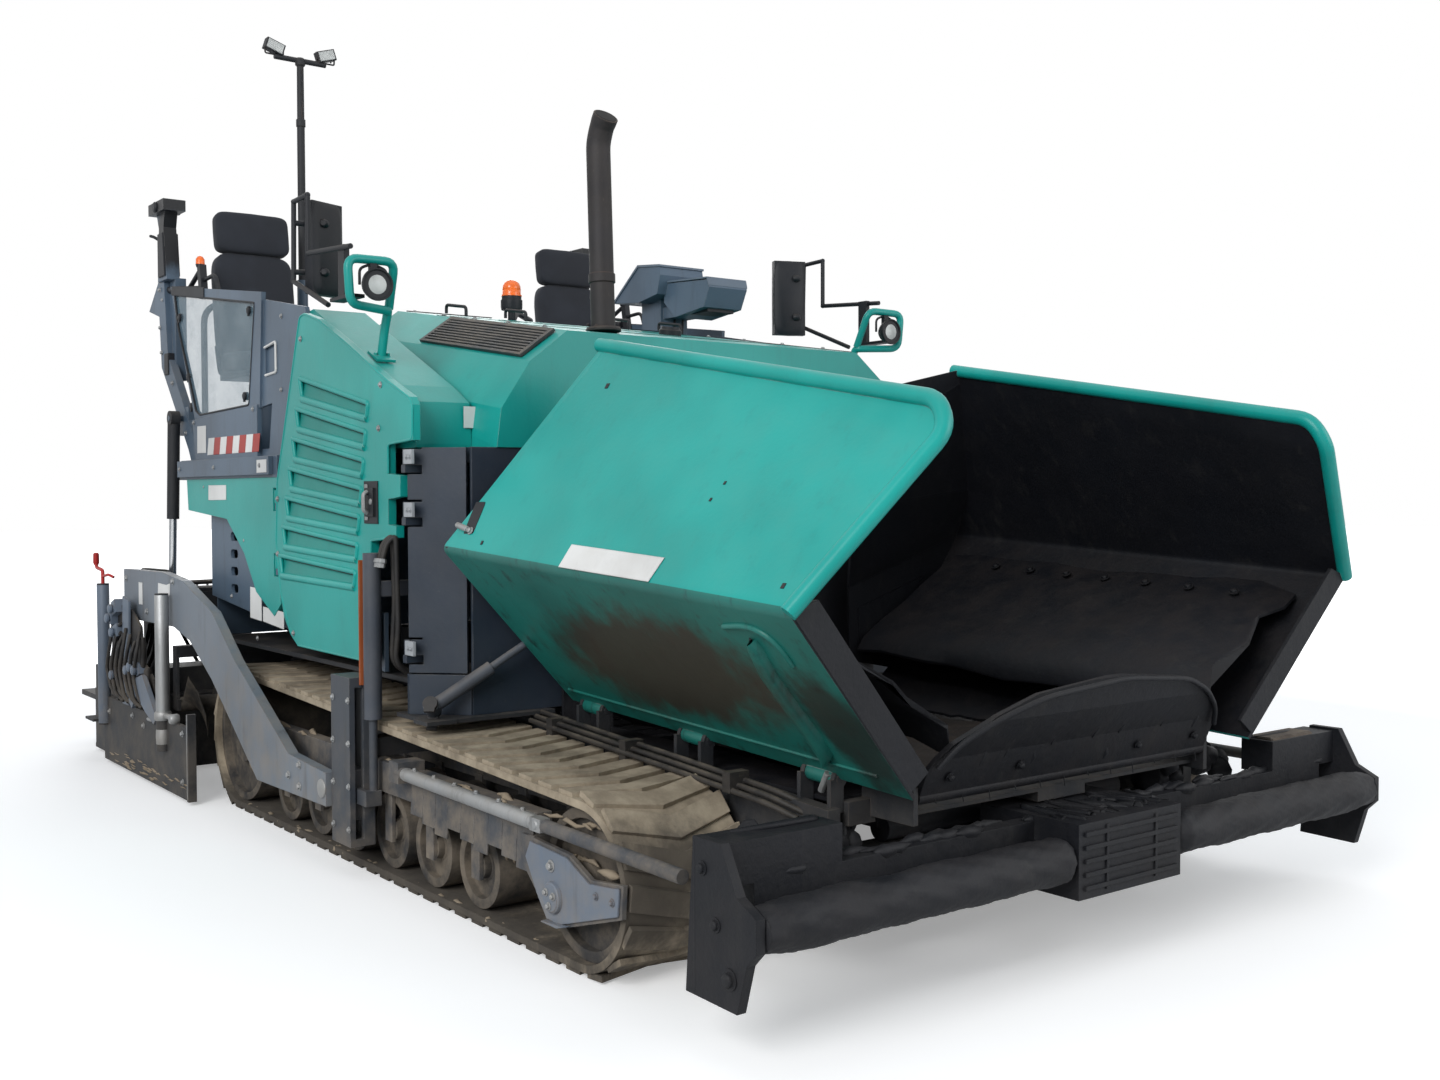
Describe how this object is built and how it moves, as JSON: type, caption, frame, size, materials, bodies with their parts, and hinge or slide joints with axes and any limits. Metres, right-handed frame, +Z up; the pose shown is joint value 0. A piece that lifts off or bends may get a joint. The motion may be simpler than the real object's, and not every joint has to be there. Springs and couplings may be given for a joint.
{
  "type": "asphalt paver",
  "caption": "Tracked asphalt paver with a folding hopper, slat conveyor, spreading augers, operator platform and a towed extending screed.",
  "frame": {"origin": "on the ground under the middle of the machine's overall length and width", "axes": "+X forward towards the hopper and push rollers, +Y the machine's left, +Z up"},
  "size_m": [6.724, 3.32, 4.0791],
  "materials": {
    "green_paint": "weathered teal-green machine paint",
    "grey_paint": "blue-grey machine paint",
    "dark_paint": "dark grey paint, dusty",
    "black_steel": "bare steel, blackened with bitumen",
    "track_rubber": "rubber with dried sandy mud",
    "wheel_steel": "dark wheels with mud",
    "bright_rod": "ground cylinder rod",
    "zinc": "plain steel",
    "exhaust": "heat-browned dark pipe",
    "seat_cover": "black seat cover",
    "window": "clear glass",
    "amber": "amber lens",
    "black_plastic": "black plastic"
  },
  "bodies": {
    "tractor": {"chassis": "dark_paint", "engine_mounts": "dark_paint", "apron_bearings": "dark_paint", "wing_clevises": "dark_paint", "engine_block": "dark_paint", "hood": "green_paint", "hood_grille": "dark_paint", "body_sides": "green_paint", "side_skirts": "grey_paint", "front_wall": "grey_paint", "operator_deck": "grey_paint", "side_panels": "grey_paint", "side_windows": "window", "rear_posts": "grey_paint", "control_console": "grey_paint", "exhaust_pipe": "exhaust", "lamp_guards": "green_paint", "work_lamps": "black_plastic", "wing_mirror": "black_plastic", "beacons": "amber", "track_right": "track_rubber", "track_left": "track_rubber", "track_wheels": "wheel_steel", "track_frames": "grey_paint", "conveyor": "black_steel", "hopper_rear_wall": "black_steel", "tow_guides": "grey_paint", "tow_cylinders": "zinc", "auger_gearcase": "dark_paint"},
    "side_flap_right": {"side_flap_right": "green_paint"},
    "front_door_right": {"front_door_right": "grey_paint"},
    "hopper_wing_right": {"hopper_wing_right": "green_paint"},
    "wing_cylinder_right": {"wing_cylinder_right": "dark_paint"},
    "wing_rod_right": {"wing_rod_right": "bright_rod"},
    "push_roller_right": {"push_roller_right": "black_steel"},
    "auger_right": {"auger_right": "black_steel"},
    "seat_right": {"seat_right": "seat_cover"},
    "screed_extension_right": {"screed_extension_right": "dark_paint", "end_gate_right": "dark_paint"},
    "side_flap_left": {"side_flap_left": "green_paint"},
    "front_door_left": {"front_door_left": "grey_paint"},
    "hopper_wing_left": {"hopper_wing_left": "green_paint"},
    "wing_cylinder_left": {"wing_cylinder_left": "dark_paint"},
    "wing_rod_left": {"wing_rod_left": "bright_rod"},
    "push_roller_left": {"push_roller_left": "black_steel"},
    "auger_left": {"auger_left": "black_steel"},
    "seat_left": {"seat_left": "seat_cover"},
    "screed_extension_left": {"screed_extension_left": "dark_paint", "end_gate_left": "dark_paint"},
    "front_apron": {"front_apron": "black_steel"},
    "push_beam": {"push_beam": "black_steel"},
    "tow_slides": {"tow_slides": "grey_paint"},
    "screed": {"tow_arms": "grey_paint", "screed_frame": "dark_paint"},
    "lift_cylinders": {"lift_cylinders": "dark_paint"},
    "lift_rods": {"lift_rods": "bright_rod"},
    "lamp_mast": {"lamp_mast": "dark_paint"}
  },
  "joints": [
    {"name": "side_flap_right_hinge", "type": "hinge", "parent": "tractor", "child": "side_flap_right", "pos_m": [-0.445, -1.383, 1], "axis": [0, 0, -1], "range_deg": [0, 100]},
    {"name": "side_flap_left_hinge", "type": "hinge", "parent": "tractor", "child": "side_flap_left", "pos_m": [-0.445, 1.383, 1], "axis": [0, 0, 1], "range_deg": [0, 100]},
    {"name": "front_door_right_hinge", "type": "hinge", "parent": "tractor", "child": "front_door_right", "pos_m": [0.925, -1.392, 1], "axis": [0, 0, -1], "range_deg": [0, 95]},
    {"name": "front_door_left_hinge", "type": "hinge", "parent": "tractor", "child": "front_door_left", "pos_m": [0.925, 1.392, 1], "axis": [0, 0, 1], "range_deg": [0, 95]},
    {"name": "hopper_wing_right_hinge", "type": "hinge", "parent": "tractor", "child": "hopper_wing_right", "pos_m": [3.11, -0.85, 0.63], "axis": [0.999, 0, -0.0456], "range_deg": [0, 43]},
    {"name": "hopper_wing_left_hinge", "type": "hinge", "parent": "tractor", "child": "hopper_wing_left", "pos_m": [3.11, 0.85, 0.63], "axis": [-0.999, 0, 0.0456], "range_deg": [0, 43]},
    {"name": "wing_cylinder_right_hinge", "type": "hinge", "parent": "tractor", "child": "wing_cylinder_right", "pos_m": [1.09, -1.372, 0.715], "axis": [-0.6528, 0.539, -0.5323], "range_deg": [0, 11.8]},
    {"name": "wing_cylinder_left_hinge", "type": "hinge", "parent": "tractor", "child": "wing_cylinder_left", "pos_m": [1.09, 1.372, 0.715], "axis": [0.6528, 0.539, 0.5323], "range_deg": [0, 11.8]},
    {"name": "wing_rod_right_slide", "type": "slide", "parent": "wing_cylinder_right", "child": "wing_rod_right", "axis": [0.2367, 0.8126, 0.5326], "range_m": [-0.209, 0]},
    {"name": "wing_rod_left_slide", "type": "slide", "parent": "wing_cylinder_left", "child": "wing_rod_left", "axis": [0.2367, -0.8126, 0.5326], "range_m": [-0.209, 0]},
    {"name": "front_apron_hinge", "type": "hinge", "parent": "tractor", "child": "front_apron", "pos_m": [2.985, 0, 0.6], "axis": [0, 1, 0], "range_deg": [0, 55]},
    {"name": "push_beam_swing", "type": "hinge", "parent": "tractor", "child": "push_beam", "pos_m": [2.89, 0, 0.38], "axis": [0, 0, 1], "range_deg": [-2, 2]},
    {"name": "push_roller_right_spin", "type": "hinge", "parent": "push_beam", "child": "push_roller_right", "pos_m": [3.185, -0.88, 0.386], "axis": [0, 1, 0], "continuous": true},
    {"name": "push_roller_left_spin", "type": "hinge", "parent": "push_beam", "child": "push_roller_left", "pos_m": [3.185, 0.88, 0.386], "axis": [0, 1, 0], "continuous": true},
    {"name": "auger_right_spin", "type": "hinge", "parent": "tractor", "child": "auger_right", "pos_m": [-1.75, -0.7, 0.41], "axis": [0, 1, 0], "continuous": true},
    {"name": "auger_left_spin", "type": "hinge", "parent": "tractor", "child": "auger_left", "pos_m": [-1.75, 0.7, 0.41], "axis": [0, 1, 0], "continuous": true},
    {"name": "tow_point_slide", "type": "slide", "parent": "tractor", "child": "tow_slides", "axis": [0, 0, 1], "range_m": [0, 0.12]},
    {"name": "screed_raise", "type": "hinge", "parent": "tow_slides", "child": "screed", "pos_m": [0.47, 0, 0.33], "axis": [0, -1, 0], "range_deg": [-6.5, 0]},
    {"name": "screed_extension_right_slide", "type": "slide", "parent": "screed", "child": "screed_extension_right", "axis": [0, -1, 0], "range_m": [0, 1.45]},
    {"name": "screed_extension_left_slide", "type": "slide", "parent": "screed", "child": "screed_extension_left", "axis": [0, 1, 0], "range_m": [0, 1.45]},
    {"name": "lift_cylinder_hinge", "type": "hinge", "parent": "tractor", "child": "lift_cylinders", "pos_m": [-1.9, 0, 1.93], "axis": [0, 1, 0], "range_deg": [-8.6, 0]},
    {"name": "lift_rod_slide", "type": "slide", "parent": "lift_cylinders", "child": "lift_rods", "axis": [-0.0684, 0, -0.9977], "range_m": [-0.281, 0]},
    {"name": "seat_right_swivel", "type": "hinge", "parent": "tractor", "child": "seat_right", "pos_m": [-1.52, -1, 2.1], "axis": [0, 0, -1], "range_deg": [-15, 90]},
    {"name": "seat_left_swivel", "type": "hinge", "parent": "tractor", "child": "seat_left", "pos_m": [-1.52, 1, 2.1], "axis": [0, 0, 1], "range_deg": [-15, 90]},
    {"name": "lamp_mast_slide", "type": "slide", "parent": "tractor", "child": "lamp_mast", "axis": [0, 0, 1], "range_m": [-0.85, 0]}
  ],
  "couplings": [
    {"joint": "wing_cylinder_right_hinge", "follows": "hopper_wing_right_hinge", "ratio": 0.25157},
    {"joint": "wing_rod_right_slide", "follows": "hopper_wing_right_hinge", "m_per_rad": -0.26484},
    {"joint": "wing_cylinder_left_hinge", "follows": "hopper_wing_left_hinge", "ratio": 0.25157},
    {"joint": "wing_rod_left_slide", "follows": "hopper_wing_left_hinge", "m_per_rad": -0.26484},
    {"joint": "lift_cylinder_hinge", "follows": "screed_raise", "ratio": 1.1523},
    {"joint": "lift_rod_slide", "follows": "screed_raise", "m_per_rad": 2.3915}
  ]
}
